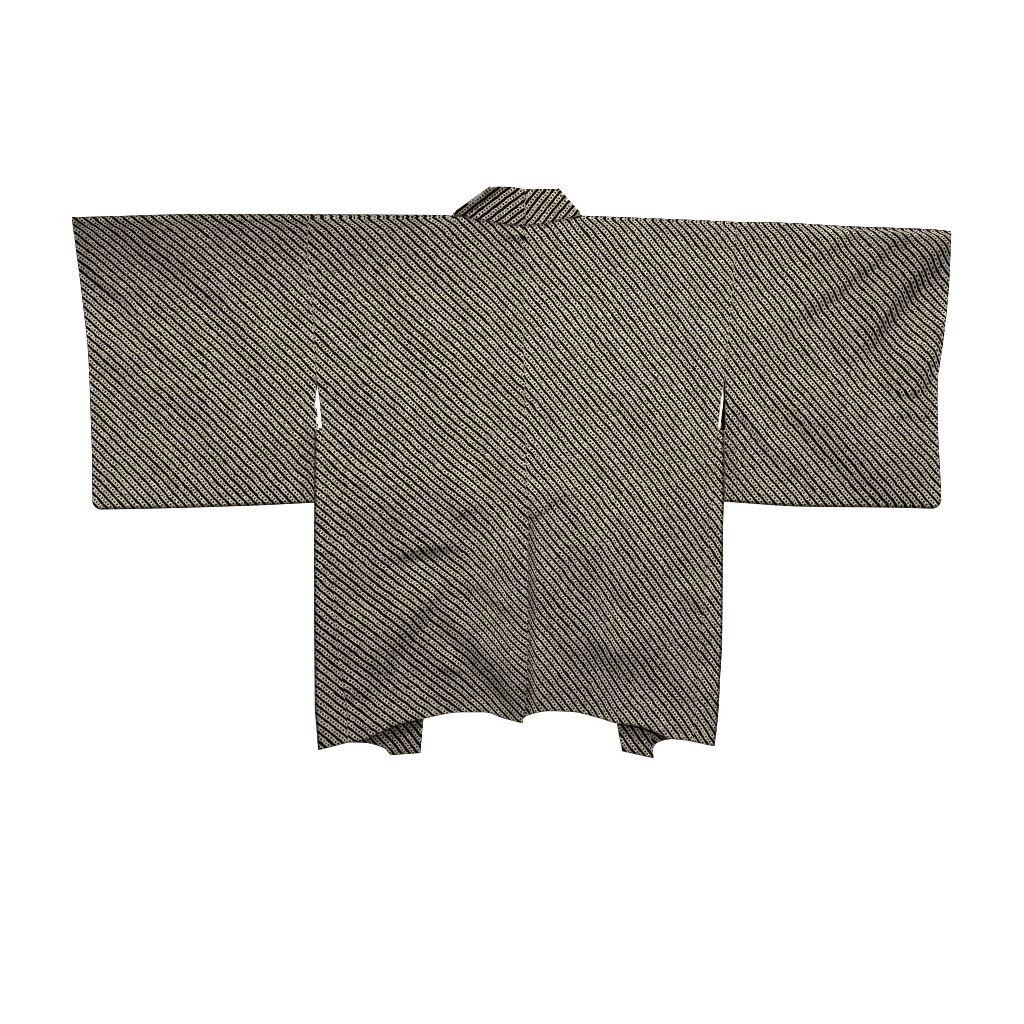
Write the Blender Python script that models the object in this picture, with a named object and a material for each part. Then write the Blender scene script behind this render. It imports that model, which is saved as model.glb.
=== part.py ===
"""A lined haori laid out flat, back side up: neck towards +Y, floor at z = 0.

Two body lengths fold over the shoulders, two sleeves fold at the top, a gusset wraps each side,
and a doubled collar band turns out over the back neck and runs down both front edges beneath.
Sizes are in millimetres until a wall is made.
"""
from math import cos, pi, radians, sin

import bmesh
import bpy
import numpy as np

MM = 0.001

# Walls and clearances
CLOTH = 1.6        # silk and lining together: body, sleeves, gussets
BAND = 1.4         # the doubled collar band, each of its two layers
LINING = 1.0
SEAM = 0.3         # gap between two pieces that are sewn together

# Heights of the middle of a wall above the floor
LOWER = CLOTH / 2          # a layer that lies on the floor
UPPER = 4.2                # the layer above it
OVER_BAND = 5.1            # the back where it lies over a collar band
ON_FLOOR = 1.4             # the back between the two fronts
SEWN = 2.9                 # an upper layer sewn to the lower one at its edge
BAND_LOW = BAND / 2        # front of the band: outer half, on the floor
BAND_MID = 2.7             # front of the band: inner half
BAND_BACK = 5.4            # back of the band at the shoulder: inner half
BAND_TOP = 7.6             # back of the band at the shoulder: outer half
BAND_STEP = 2.1            # outer half of the band over what is under it
NECK_LEVELS = (2.2, 2.6, 3.6, 4.7, 5.3)   # inner half of the band, from the centre back outwards

# Cloth forms
BODY_CROWN = 2.2           # the middle of a panel stands this much over its edges
SLEEVE_CROWN = 3.2
CROWN_EDGE = 95.0          # distance in which the crown dies away towards an edge
RAMP = 60.0                # distance in which the back comes down beside a band
WRIST_LOW = 132.0          # y of the lower end of the wrist opening
CORNER = 14.0              # radius of the lower cuff corner

CREASE_EDGE = 30.0         # distance in which a crease dies away towards a folded or sewn edge
LIP_PLACE = 1.9            # middle of a crease's lip, in widths of its trough
LIP_WIDTH = 1.25           # half width of the lip, in the same
SLIT_LOW = 62.0            # y of the top of the gussets, where the arm slits end
SHOULDER = 374.0           # y of the shoulder line at the neck
MOST_LEAN = 0.7            # most that the bottom edge turns towards the cuff at the rounded corner
NECK_ROOM = 2.4            # room at the neck point for the band to turn over the shoulder
FREE_AT_NECK = 8.0         # free edge of the band at the neck point, from the seam
FREE_IN_FRONT = 11.0       # and down the front

UP = (0, 0, 1)
DOWN = (0, 0, -1)
SHARP = radians(40)

# Counts
SHOULDER_COLUMNS = 9
NECK_COLUMNS = 5
SLEEVE_COLUMNS = 14
TURNS = 5                  # steps round a folded edge
GUSSET_ROWS = 18
GUSSET_UPPER = 3
GUSSET_LOWER = 2
LINING_STEPS = 3
CORNER_STEPS = 3

# Places along a section of the band, from 0 at one end of a half to 1 at the other
INNER_SHARES = (0, 0.2, 0.6, 1)
OUTER_SHARES = (0, 0.45, 0.85, 1)

# Rows down the front, by their y at the seam of the band; the band's own fold starts higher up
FRONT_Y = (368, 352, 321, 282, 236, 190, 141, 100, 67, 62, -10, -90, -170, -250, -330, -400)
FOLD_RISE = (28, 16, 9, 5, 2)

# Spans along the side of the back and the sleeve seam: their lower ends, and the rows in each
SEAM_SPANS = ((321, 2), (236, 4), (141, 4))
SLIT_ROWS = 3
OPEN_ROWS = 8

# Outlines, as columns of one table each. Body edges give x for y, hems and tops give y for x.
LEFT = dict(
    out=-1,
    centre=dict(y=(-366, -240, -63, 60, 160, 260, 366), x=(15.5, 18, 19, 20, 18, 17, 18)),
    side=dict(y=(-404, -347, -252, -52, 62, 141, 236, 321, 376),
              x=(-237.5, -240.7, -253.8, -266.9, -275.6, -284.2, -290.2, -297.4, -296)),
    hem=dict(x=(-240.7, -221.8, -194.8, -168, -127.3, -76.4, -42.9, -14.5, 15),
             y=(-392.7, -390, -379.2, -367.3, -357.7, -349.1, -349.1, -357.8, -365.2)),
    shoulder=dict(x=(-296, -86), y=(376, 375)),
    neck=dict(x=(-86, -60, -25, 18), y=(372.6, 371.5, 367.5, 365.5)),
    outline=dict(y=(-404, -372, -340, -124, -54, 62), x=(-281.6, -284, -286.4, -287.6, -287.2, -286.6)),
    gusset_hem=dict(x=(-281, -240.7), y=(-403.6, -392.7)),
    front_side=dict(y=(-404, 62, 67, 141, 236, 321, 376),
                    x=(-256, -279, -284, -284.4, -290.2, -297.4, -296)),
    front_hem=dict(x=(-281, -256, -235, -215, -183, -175), y=(-403.6, -397, -393, -393.5, -402, -404)),
    front_edge=dict(y=(-416, -200, 0, 200, 300, 376), x=(-176, -154, -133, -110, -98, -86)),
    fold=dict(y=(-408, -357, -200, 0, 200, 300, 410), x=(-132, -127.5, -109, -87, -64, -52, -36)),
    band_hem=(-411.6, -408.2),
    neck_free=dict(x=(-85, -37, -0.7, 18), y=(374.5, 365.8, 360, 359.3)),
    band_top=dict(x=(17.8, 8, -9, -23, -31), y=(411.5, 414.5, 416, 415.8, 413)),
    corner=(-36, 409.5),
    neck_point=(-84, 373.4),
    slit_lining=dict(y=(66, 166), outer=-283, lean=0, inner=-238),
)
RIGHT = dict(
    out=1,
    centre=LEFT["centre"],
    side=dict(y=(-398, -334, -244, -127, 62, 141, 236, 321, 364),
              x=(265, 268.4, 275.6, 285.8, 301.5, 310, 319, 324.8, 328)),
    hem=dict(x=(15, 23.6, 53.1, 85.1, 122.9, 154, 179.6, 206.4, 230.5, 252.1, 265.4),
             y=(-361, -353.7, -347.5, -348.4, -356.4, -365.2, -368.4, -376.6, -387.3, -389.5, -392)),
    shoulder=dict(x=(103, 262, 328), y=(374, 368, 365)),
    neck=dict(x=(18, 60, 103), y=(365.5, 368, 371.4)),
    outline=dict(y=(-398, -369, -334, -300, -246, -80, -40, 62),
                 x=(295.6, 299.4, 302.2, 303.8, 306.8, 308.2, 309.2, 309.2)),
    gusset_hem=dict(x=(265.4, 295.4), y=(-392, -398.1)),
    front_side=dict(y=(-398, 62, 67, 141, 236, 321, 364), x=(275, 301.5, 308.6, 310, 319, 324.8, 328)),
    front_hem=dict(x=(205, 212, 229, 250, 275, 296), y=(-403, -394, -388.5, -386, -388, -396)),
    front_edge=dict(y=(-416, -200, 0, 200, 300, 374), x=(206, 182, 160, 136, 123, 103)),
    fold=dict(y=(-406, -364, -200, 0, 200, 300, 412), x=(161, 153, 135, 113, 90, 78, 66)),
    band_hem=(-416, -405.7),
    neck_free=dict(x=(18, 48.7, 70.5, 102.5), y=(359.3, 361.4, 367.3, 373.1)),
    band_top=dict(x=(18.2, 28, 38, 48, 58), y=(412.4, 412.6, 412.8, 412.8, 412.6)),
    corner=(65.5, 411.5),
    neck_point=(100.6, 371.6),
    slit_lining=dict(y=(66, 166), outer=304, lean=5.5, inner=262),
)
LEFT_SLEEVE = dict(
    out=-1,
    half=LEFT,
    cuff=dict(y=(-37, -2, 102, 172, 242, 312, 372), x=(-610.2, -610.2, -613.1, -616, -623.3, -632, -640)),
    open_edge=dict(y=(-45, 62, 141), x=(-287.8, -287.2, -285)),
    top=dict(x=(-640, -583, -465, -296), y=(371.6, 373.1, 376, 376)),
    bottom=dict(x=(-600, -523, -377, -287), y=(-54.5, -53.1, -48.7, -44.4)),
)
RIGHT_SLEEVE = dict(
    out=1,
    half=RIGHT,
    cuff=dict(y=(-37, -2, 57, 103, 137, 156, 207, 277, 351),
              x=(625.5, 624, 621, 620, 620.4, 623.2, 630, 637, 640)),
    open_edge=dict(y=(-43, 62, 141), x=(310, 310, 310.6)),
    top=dict(x=(328, 379, 495, 612, 640), y=(365, 364.4, 358.5, 354.2, 351.3)),
    bottom=dict(x=(309, 427, 554, 614), y=(-42.9, -50.2, -51.6, -53.1)),
)

# The largest creases: ends, depth and half width of the trough, and height of the soft lip on its
# left as it is walked from its first end to its last, or on its right where that is negative.
CREASE_COLUMNS = ("x0", "y0", "x1", "y1", "depth", "width", "lip")
BODY_CREASES = (
    (-150, -123, -82, -105, 2.4, 13, 3.4),
    (-100, -174, -186, -302, 2.0, 17, -2.6),
    (-74, -242, 4, -320, 2.4, 18, 3.4),
    (-57, -158, 4, -218, 1.8, 16, 2.2),
    (-91, -63, -40, -46, 1.2, 13, 1.4),
    (-245, -242, -219, -225, 1.2, 13, 1.4),
    (30, -70, 74, -30, 1.4, 13, 1.8),
    (114, -149, 150, -184, 1.2, 16, 1.6),
    (123, -290, 234, -298, 1.4, 26, 1.8),
    (246, -168, 272, -200, 1.2, 14, 1.4),
)
SLEEVE_CREASES = (
    (640, 350, 523, 206, 3.2, 20, 4.2),
    (558, 338, 395, 214, 2.4, 18, 2.8),
    (624, 176, 578, 114, 2.4, 14, 3.0),
    (408, 66, 560, -44, 2.6, 19, 3.0),
    (-488, 295, -406, 226, 1.6, 18, 2.0),
    (-622, 303, -543, 230, 1.6, 18, 2.2),
    (-612, 175, -552, 133, 1.6, 16, 2.0),
)

COLOURS = dict(
    shibori=(0.15, 0.14, 0.115),
    lining=(0.88, 0.86, 0.78),
)


def smooth(low, high, value):
    """0 below low, 1 above high, and a soft S between."""
    t = min(max((value - low) / (high - low), 0.0), 1.0)
    return t * t * (3 - 2 * t)


def mix(a, b, t):
    return a + (b - a) * t


def read(table, given, wanted, at):
    """The wanted column of a table at a value of the given one, on straight runs between its rows."""
    order = np.argsort(table[given])
    return float(np.interp(at, np.array(table[given])[order], np.array(table[wanted])[order]))


def x_at(table, y):
    return read(table, "y", "x", y)


def y_at(table, x):
    return read(table, "x", "y", x)


def side_end(half, name, column):
    """A table's value at its row nearest the side of the garment."""
    return half[name][column][0 if half["out"] < 0 else -1]


def centre_end(half, name, column):
    return half[name][column][-1 if half["out"] < 0 else 0]


def arc(steps):
    """The angles between the ends of a half turn."""
    return [pi * k / steps for k in range(1, steps)]


class Wall:
    """A wall of even thickness about its middle surface: points, the way out at each, and its cells."""

    def __init__(self, thickness):
        self.thickness = thickness
        self.points = []
        self.outs = []
        self.cells = []

    def add(self, point, out):
        self.points.append(np.array(point, float))
        self.outs.append(np.array(out, float))
        return len(self.points) - 1

    def fill(self, rows, ring=False):
        """Cells between each row of point numbers and the next, as far as both rows reach."""
        for one, two in zip(rows, rows[1:]):
            count = min(len(one), len(two))
            for k in range(count if ring else count - 1):
                after = (k + 1) % count
                self.cells.append((one[k], one[after], two[after], two[k]))

    def rims(self):
        """The edges that only one cell has."""
        seen = {}
        for cell in self.cells:
            for a, b in zip(cell, cell[1:] + cell[:1]):
                seen.setdefault((min(a, b), max(a, b)), []).append((a, b))
        return [sides[0] for sides in seen.values() if len(sides) == 1]

    def build(self, name, colour, roughness=0.75):
        count = len(self.points)
        half = self.thickness / 2
        both = [p + o * half for p, o in zip(self.points, self.outs)]
        both += [p - o * half for p, o in zip(self.points, self.outs)]
        faces = list(self.cells)
        faces += [tuple(k + count for k in reversed(cell)) for cell in self.cells]
        faces += [(b, a, a + count, b + count) for a, b in self.rims()]
        mesh = bpy.data.meshes.new(name)
        mesh.from_pydata([tuple(p * MM) for p in both], [], faces)
        form = bmesh.new()
        form.from_mesh(mesh)
        bmesh.ops.recalc_face_normals(form, faces=form.faces)
        form.to_mesh(mesh)
        form.free()
        mesh.shade_smooth()
        mesh.set_sharp_from_angle(angle=SHARP)
        mesh.materials.append(material(name, colour, roughness))
        thing = bpy.data.objects.new(name, mesh)
        bpy.context.collection.objects.link(thing)


def material(name, colour, roughness):
    made = bpy.data.materials.new(name)
    made.use_nodes = True
    surface = made.node_tree.nodes["Principled BSDF"]
    surface.inputs["Base Color"].default_value = (*colour, 1)
    surface.inputs["Roughness"].default_value = roughness
    surface.inputs["Metallic"].default_value = 0.0
    return made


def crease_lift(creases, x, y):
    """Height that the creases add at a point: a trough along each, with a soft lip beside it."""
    total = 0.0
    for row in creases:
        c = dict(zip(CREASE_COLUMNS, row))
        run = np.array((c["x1"] - c["x0"], c["y1"] - c["y0"]))
        length = np.hypot(*run)
        along = np.dot((x - c["x0"], y - c["y0"]), run) / length
        aside = (run[0] * (y - c["y0"]) - run[1] * (x - c["x0"])) / length
        fade = smooth(-c["width"], c["width"], along) * smooth(-c["width"], c["width"], length - along)
        trough = np.exp(-((aside / c["width"]) ** 2))
        side = 1 if c["lip"] > 0 else -1
        lip = np.exp(-(((aside * side / c["width"] - LIP_PLACE) / LIP_WIDTH) ** 2))
        total += fade * (abs(c["lip"]) * lip - c["depth"] * trough)
    return total


def body_level(half, x, y):
    """Height of the middle of the back over the floor."""
    out = half["out"]
    past_fold = (x - x_at(half["fold"], y)) * out
    band = (x_at(half["front_edge"], y) - x_at(half["fold"], y)) * out
    base = mix(ON_FLOOR, OVER_BAND, smooth(-RAMP, 0, past_fold))
    base = mix(base, UPPER, smooth(band, band + RAMP, past_fold))
    edge = x_at(half["outline"] if y < SLIT_LOW else half["side"], y)
    from_side = (edge - x) * out
    from_ends = smooth(0, CROWN_EDGE, y - y_at(half["hem"], x)) * smooth(0, CROWN_EDGE, SHOULDER - y)
    crown = BODY_CROWN * smooth(0, CROWN_EDGE, from_side) * from_ends
    creases = crease_lift(BODY_CREASES, x, y) * smooth(0, CREASE_EDGE, from_side)
    return base + max(0.0, crown + creases)


def sleeve_level(sleeve, x, y):
    """Height of the middle of a sleeve's upper layer over the floor."""
    out = sleeve["out"]
    from_cuff = (x_at(sleeve["cuff"], y) - x) * out
    from_seam = (x - sleeve_inner(sleeve, y)) * out
    from_top = y_at(sleeve["top"], x) - y
    from_bottom = y - y_at(sleeve["bottom"], x)
    open_cuff = max(smooth(0, CREASE_EDGE, from_cuff), smooth(WRIST_LOW - CORNER, WRIST_LOW + CORNER, y))
    base = mix(SEWN, UPPER, open_cuff)
    crown = SLEEVE_CROWN * smooth(0, CROWN_EDGE, from_cuff)
    creases = crease_lift(SLEEVE_CREASES, x, y) * open_cuff
    for distance in (from_seam, from_top, from_bottom):
        crown *= smooth(0, CROWN_EDGE, distance)
        creases *= smooth(0, CREASE_EDGE, distance)
    return base + max(0.0, crown + creases)


def sleeve_inner(sleeve, y):
    """Inner edge of a sleeve: the seam with the body, and below it the open edge."""
    if y >= sleeve["open_edge"]["y"][-1]:
        return x_at(sleeve["half"]["side"], y) + sleeve["out"] * SEAM
    return x_at(sleeve["open_edge"], y)


def down_spans(top, spans):
    """Values from top down to the end of each span, with its rows evenly in it."""
    values = [top]
    for low, count in spans:
        start = values[-1]
        values += [mix(start, low, k / count) for k in range(1, count + 1)]
    return values


def shares_of(values):
    """Where each value lies between the first, 0, and the last, 1."""
    return [(v - values[0]) / (values[-1] - values[0]) for v in values]


def build_body(label, half):
    """Back and front in one: up the back, round the shoulder fold, and down the front beneath."""
    out = half["out"]
    neck_x = half["neck_point"][0] + out * NECK_ROOM
    top_y = y_at(half["shoulder"], neck_x)
    side_top = x_at(half["side"], top_y)
    centre_top = x_at(half["centre"], top_y) + out * SEAM / 2
    neck_share = (neck_x - side_top) / (centre_top - side_top)
    shares = [neck_share * k / SHOULDER_COLUMNS for k in range(SHOULDER_COLUMNS + 1)]
    shares += [mix(neck_share, 1, k / NECK_COLUMNS) for k in range(1, NECK_COLUMNS + 1)]
    side_y = side_end(half, "shoulder", "y")
    side_axis = side_y - (body_level(half, side_top, side_y) - LOWER) / 2 - CLOTH / 2
    side_hem = side_end(half, "hem", "y")
    spans = SEAM_SPANS + ((SLIT_LOW, SLIT_ROWS), (side_hem, GUSSET_ROWS))
    back_shares = shares_of(down_spans(side_axis, spans))
    wall = Wall(CLOTH)
    columns = []
    for number, share in enumerate(shares):
        on_shoulder = number <= SHOULDER_COLUMNS
        top_x = mix(side_top, centre_top, share)
        fold_y = y_at(half["shoulder"], top_x)
        turn = (body_level(half, top_x, fold_y) - LOWER) / 2
        axis_y = fold_y - turn - CLOTH / 2 if on_shoulder else y_at(half["neck"], top_x)
        hem_y = y_at(half["hem"], mix(side_end(half, "hem", "x"), centre_end(half, "hem", "x"), share))
        column = []
        for down in reversed(back_shares):
            y = mix(axis_y, hem_y, down)
            centre = x_at(half["centre"], y) + out * SEAM / 2
            x = mix(x_at(half["side"], y), centre, share)
            column.append(wall.add((x, y, body_level(half, x, y)), UP))
        if on_shoulder:
            for angle in arc(TURNS):
                out_way = np.array((0, sin(angle), cos(angle)))
                column.append(wall.add(np.array((top_x, axis_y, LOWER + turn)) + out_way * turn, out_way))
            lower_share = number / SHOULDER_COLUMNS
            hem_ends = [x_at(half[name], FRONT_Y[-1]) for name in ("front_side", "front_edge")]
            low_y = y_at(half["front_hem"], mix(*hem_ends, lower_share))
            column.append(wall.add((top_x, axis_y, LOWER), DOWN))
            for row_y in FRONT_Y:
                y = row_y + (axis_y - y_at(half["neck"], neck_x)) * smooth(FRONT_Y[2], FRONT_Y[0], row_y)
                if row_y == FRONT_Y[-1]:
                    y = low_y
                x = mix(x_at(half["front_side"], y), x_at(half["front_edge"], y), lower_share)
                column.append(wall.add((x, y, LOWER), DOWN))
        columns.append(column)
    wall.fill(columns)
    wall.build(label, COLOURS["shibori"])


def build_sleeve(name, sleeve):
    """A flat tube: upper layer, bottom edge, lower layer, and the fold along the top."""
    out = sleeve["out"]
    low_y = sleeve["cuff"]["y"][0]
    width = abs(x_at(sleeve["cuff"], low_y) - sleeve_inner(sleeve, low_y))
    rounding = [CORNER * (1 - cos(pi / 2 * k / CORNER_STEPS)) / width for k in range(CORNER_STEPS)]
    start = CORNER / width
    shares = rounding + [mix(start, 1, k / SLEEVE_COLUMNS) for k in range(SLEEVE_COLUMNS + 1)]
    seam_x = sleeve_inner(sleeve, SHOULDER)
    seam_top = y_at(sleeve["top"], seam_x)
    seam_axis = seam_top - (sleeve_level(sleeve, seam_x, seam_top) - LOWER) / 2 - CLOTH / 2
    open_low = sleeve["open_edge"]["y"][0] + (UPPER - LOWER) / 2 + CLOTH / 2
    upper_shares = shares_of(down_spans(seam_axis, SEAM_SPANS + ((open_low, OPEN_ROWS),)))
    lower_shares = shares_of([seam_axis] + [low for low, _ in SEAM_SPANS] + [SLIT_LOW, open_low])
    wall = Wall(CLOTH)
    rings = []
    for share in shares:
        def across(y):
            return mix(x_at(sleeve["cuff"], y), sleeve_inner(sleeve, y), share)

        top_y = y_at(sleeve["top"], across(SHOULDER))
        to_cuff = share * width
        lean = max(0.0, 1 - to_cuff / CORNER)
        lift = CORNER * (1 - (1 - lean ** 2) ** 0.5)
        bottom_y = y_at(sleeve["bottom"], across(low_y)) + lift
        turn_top = (sleeve_level(sleeve, across(top_y), top_y) - LOWER) / 2
        turn_low = (sleeve_level(sleeve, across(bottom_y), bottom_y) - LOWER) / 2
        lean = min(lean, MOST_LEAN)
        low_way = np.array((out * lean, -((1 - lean ** 2) ** 0.5)))
        axis_top = top_y - turn_top - CLOTH / 2
        low_edge = np.array((across(bottom_y), bottom_y))
        axis_low = low_edge - low_way * (turn_low + CLOTH / 2)
        ring = []
        shift = axis_low[0] - across(axis_low[1])
        for down in upper_shares:
            y = mix(axis_top, axis_low[1], down)
            height = sleeve_level(sleeve, across(y), y) if down < 1 else LOWER + 2 * turn_low
            ring.append(wall.add((across(y) + shift * (down == 1), y, height), UP))
        for angle in arc(TURNS):
            out_way = np.array((*(low_way * sin(angle)), cos(angle)))
            ring.append(wall.add(np.array((*axis_low, LOWER + turn_low)) + out_way * turn_low, out_way))
        for down in reversed(lower_shares):
            y = mix(axis_top, axis_low[1], down)
            ring.append(wall.add((across(y) + shift * (down == 1), y, LOWER), DOWN))
        middle = np.array((across(axis_top), axis_top, LOWER + turn_top))
        for angle in arc(TURNS):
            out_way = np.array((0, sin(angle), -cos(angle)))
            ring.append(wall.add(middle + out_way * turn_top, out_way))
        rings.append(ring)
    wall.fill(rings, ring=True)
    wall.build(name, COLOURS["shibori"])


def build_gusset(name, half):
    """A wedge round the side: on the back from its seam to the fold, and beneath to the front."""
    out = half["out"]
    wall = Wall(CLOTH)
    rows = []
    for number in range(GUSSET_ROWS + 1):
        share = number / GUSSET_ROWS

        def down(x):
            return mix(SLIT_LOW, y_at(half["gusset_hem"], x), share)

        fold_x = x_at(half["outline"], mix(SLIT_LOW, half["outline"]["y"][0], share))
        fold_y = down(fold_x)
        turn = (body_level(half, fold_x, fold_y) - LOWER) / 2
        axis_x = fold_x - out * (turn + CLOTH / 2)
        seam_y = mix(SLIT_LOW, side_end(half, "hem", "y"), share)
        row = []
        for step in range(GUSSET_UPPER + 1):
            y = mix(seam_y, fold_y, step / GUSSET_UPPER)
            x = mix(x_at(half["side"], y) + out * SEAM, axis_x, step / GUSSET_UPPER)
            height = body_level(half, x, y) if step < GUSSET_UPPER else LOWER + 2 * turn
            row.append(wall.add((x, y, height), UP))
        for angle in arc(TURNS):
            out_way = np.array((out * sin(angle), 0, cos(angle)))
            row.append(wall.add(np.array((axis_x, fold_y, LOWER + turn)) + out_way * turn, out_way))
        for step in range(GUSSET_LOWER + 1):
            edge = x_at(half["front_side"], down(x_at(half["front_side"], fold_y))) + out * SEAM
            x = mix(axis_x, edge, step / GUSSET_LOWER)
            row.append(wall.add((x, down(x), LOWER), DOWN))
        rows.append(row)
    wall.fill(rows)
    wall.build(name, COLOURS["shibori"])


def build_lining(name, half):
    """The strip of lining that lies on the front beside the arm slit."""
    table = half["slit_lining"]
    wall = Wall(LINING)
    rows = []
    for step in range(LINING_STEPS + 1):
        y = mix(table["y"][0], table["y"][1], step / LINING_STEPS)
        outer = table["outer"] + table["lean"] * step / LINING_STEPS
        height = CLOTH + SEAM + LINING / 2
        across = [mix(outer, table["inner"], k / LINING_STEPS) for k in range(LINING_STEPS + 1)]
        rows.append([wall.add((x, y, height), UP) for x in across])
    wall.fill(rows)
    wall.build(name, COLOURS["lining"], 0.6)


def band_stations(half):
    """Sections of the band from the centre back, round the shoulder, to the hem.

    Each has its seam, fold and free edge in plan, how far it has turned over the shoulder,
    and the heights of both halves there, on the back and on the front.
    """
    out = half["out"]
    corner = np.array(half["corner"], float)
    neck_point = np.array(half["neck_point"], float)
    centre_x = half["band_top"]["x"][0]
    stations = []
    count = len(NECK_LEVELS)
    for number, level in enumerate(NECK_LEVELS):
        share = number / count
        seam_x = mix(centre_x, neck_point[0], share)
        seam = np.array((seam_x, y_at(half["neck"], seam_x) + SEAM))
        fold = np.array((half["band_top"]["x"][number], half["band_top"]["y"][number]), float)
        free = np.array((seam_x, y_at(half["neck_free"], seam_x)))
        start = body_level(half, seam_x, seam[1])
        over = body_level(half, *free) + BAND_STEP
        stations.append(dict(seam=seam, fold=fold, free=free, turn=0.0, inner=(start, level),
                             outer=(level + BAND_STEP, over)))
    start = body_level(half, *neck_point)
    slope = (corner - neck_point) / np.hypot(*(corner - neck_point))
    for number in range(TURNS + 1):
        share = number / TURNS
        free = neck_point + slope * mix(FREE_AT_NECK, FREE_IN_FRONT, share)
        stations.append(dict(seam=neck_point, fold=corner, free=free, turn=pi * share,
                             inner=(start, BAND_BACK), outer=(BAND_TOP, BAND_TOP)))
    for number, seam_y in enumerate(FRONT_Y):
        fold_y = seam_y + (FOLD_RISE[number] if number < len(FOLD_RISE) else 0)
        if seam_y == FRONT_Y[-1]:
            seam_y, fold_y = half["band_hem"]
        seam = np.array((x_at(half["front_edge"], seam_y) - out * SEAM, seam_y))
        fold = np.array((x_at(half["fold"], fold_y), fold_y))
        way = (fold - seam) / np.hypot(*(fold - seam))
        stations.append(dict(seam=seam, fold=fold, free=seam + way * FREE_IN_FRONT, turn=pi,
                             inner=(start, BAND_BACK), outer=(BAND_TOP, BAND_TOP)))
    return stations


def build_band(name, half):
    """The doubled band: inner half from its seam to the fold, and the outer half back to its free edge."""
    wall = Wall(BAND)
    rows = []
    for station in band_stations(half):
        seam, fold, free = station["seam"], station["fold"], station["free"]
        way = (fold - seam) / np.hypot(*(fold - seam))
        aside = np.array((-way[1], way[0])) * half["out"] * -1
        way_up = np.array((*(aside * sin(station["turn"])), cos(station["turn"])))
        way_on = np.array((*way, 0))

        def place(plan, back, front):
            """A point at its place in plan, turned over the shoulder between two heights."""
            half_gap = (back - front) / 2
            middle = np.array((*plan, (back + front) / 2))
            return middle + way_up * half_gap

        inner_start, inner = station["inner"]
        outer, outer_end = station["outer"]
        round_back = (outer - inner) / 2
        round_front = (BAND_MID - BAND_LOW) / 2
        turn = mix(round_back, round_front, station["turn"] / pi)
        axis = fold - way * (turn + BAND / 2)
        row = []
        for share in INNER_SHARES:
            rise = smooth(0, INNER_SHARES[1], share)
            point = place(mix(seam, axis, share), mix(inner_start, inner, rise), mix(LOWER, BAND_MID, rise))
            row.append(wall.add(point, -way_up))
        core = place(axis, (inner + outer) / 2, (BAND_MID + BAND_LOW) / 2)
        for angle in arc(TURNS):
            out_way = way_on * sin(angle) - way_up * cos(angle)
            row.append(wall.add(core + out_way * turn, out_way))
        for share in OUTER_SHARES:
            fall = smooth(OUTER_SHARES[-2], 1, share)
            point = place(mix(axis, free, share), mix(outer, outer_end, fall), BAND_LOW)
            row.append(wall.add(point, way_up))
        rows.append(row)
    wall.fill(rows)
    wall.build(name, COLOURS["shibori"])


def main():
    for thing in list(bpy.data.objects):
        bpy.data.objects.remove(thing, do_unlink=True)
    for side, half, sleeve in (("left", LEFT, LEFT_SLEEVE), ("right", RIGHT, RIGHT_SLEEVE)):
        build_body("body_" + side, half)
        build_sleeve("sleeve_" + side, sleeve)
        build_gusset("gusset_" + side, half)
        build_band("collar_" + side, half)
        build_lining("lining_" + side, half)


main()
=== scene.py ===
from math import pi

import bpy
import numpy as np
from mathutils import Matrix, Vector


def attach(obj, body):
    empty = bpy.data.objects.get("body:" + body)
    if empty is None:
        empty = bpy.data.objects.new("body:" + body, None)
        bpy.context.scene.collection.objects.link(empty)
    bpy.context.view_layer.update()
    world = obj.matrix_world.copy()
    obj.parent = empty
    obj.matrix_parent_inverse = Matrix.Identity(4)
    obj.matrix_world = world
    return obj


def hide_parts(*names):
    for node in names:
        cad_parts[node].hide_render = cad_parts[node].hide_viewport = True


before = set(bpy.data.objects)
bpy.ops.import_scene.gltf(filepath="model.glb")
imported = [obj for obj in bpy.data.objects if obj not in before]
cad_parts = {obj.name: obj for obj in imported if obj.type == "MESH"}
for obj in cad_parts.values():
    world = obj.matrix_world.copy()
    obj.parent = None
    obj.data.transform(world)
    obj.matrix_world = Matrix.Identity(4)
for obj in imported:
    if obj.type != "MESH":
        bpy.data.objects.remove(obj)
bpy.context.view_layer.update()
print("stage: frame loaded,", len(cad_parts), "nodes")

mm = 0.001
join = np.concatenate

# A haori laid flat, back up. Plan sizes and heights are in millimetres until a mesh is made.
layers = dict(
    cloth=1.5,  # silk and lining together
    band=1.3,  # each layer of the doubled collar band
    slitLining=0.9,
    seam=-1.2,  # two sewn pieces meet with their rounded edges overlapping
    lower=0.8,  # heights of the middle of each layer
    upper=4.2,
    overBand=5.1,
    onFloor=1.4,
    sewn=2.9,
    bandLow=0.7,
    bandMid=2.7,
    bandBack=5.4,
    bandTop=7.6,
    bandStep=2.1,
)
places = dict(shoulder=374, slitTop=141, slitFoot=62)  # y of the shoulder line and of the arm slits' ends


def smooth(low, high, value):
    t = np.clip((value - low) / (high - low), 0, 1)
    return t * t * (3 - 2 * t)


def mix(a, b, t):
    return a + (b - a) * t


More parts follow.
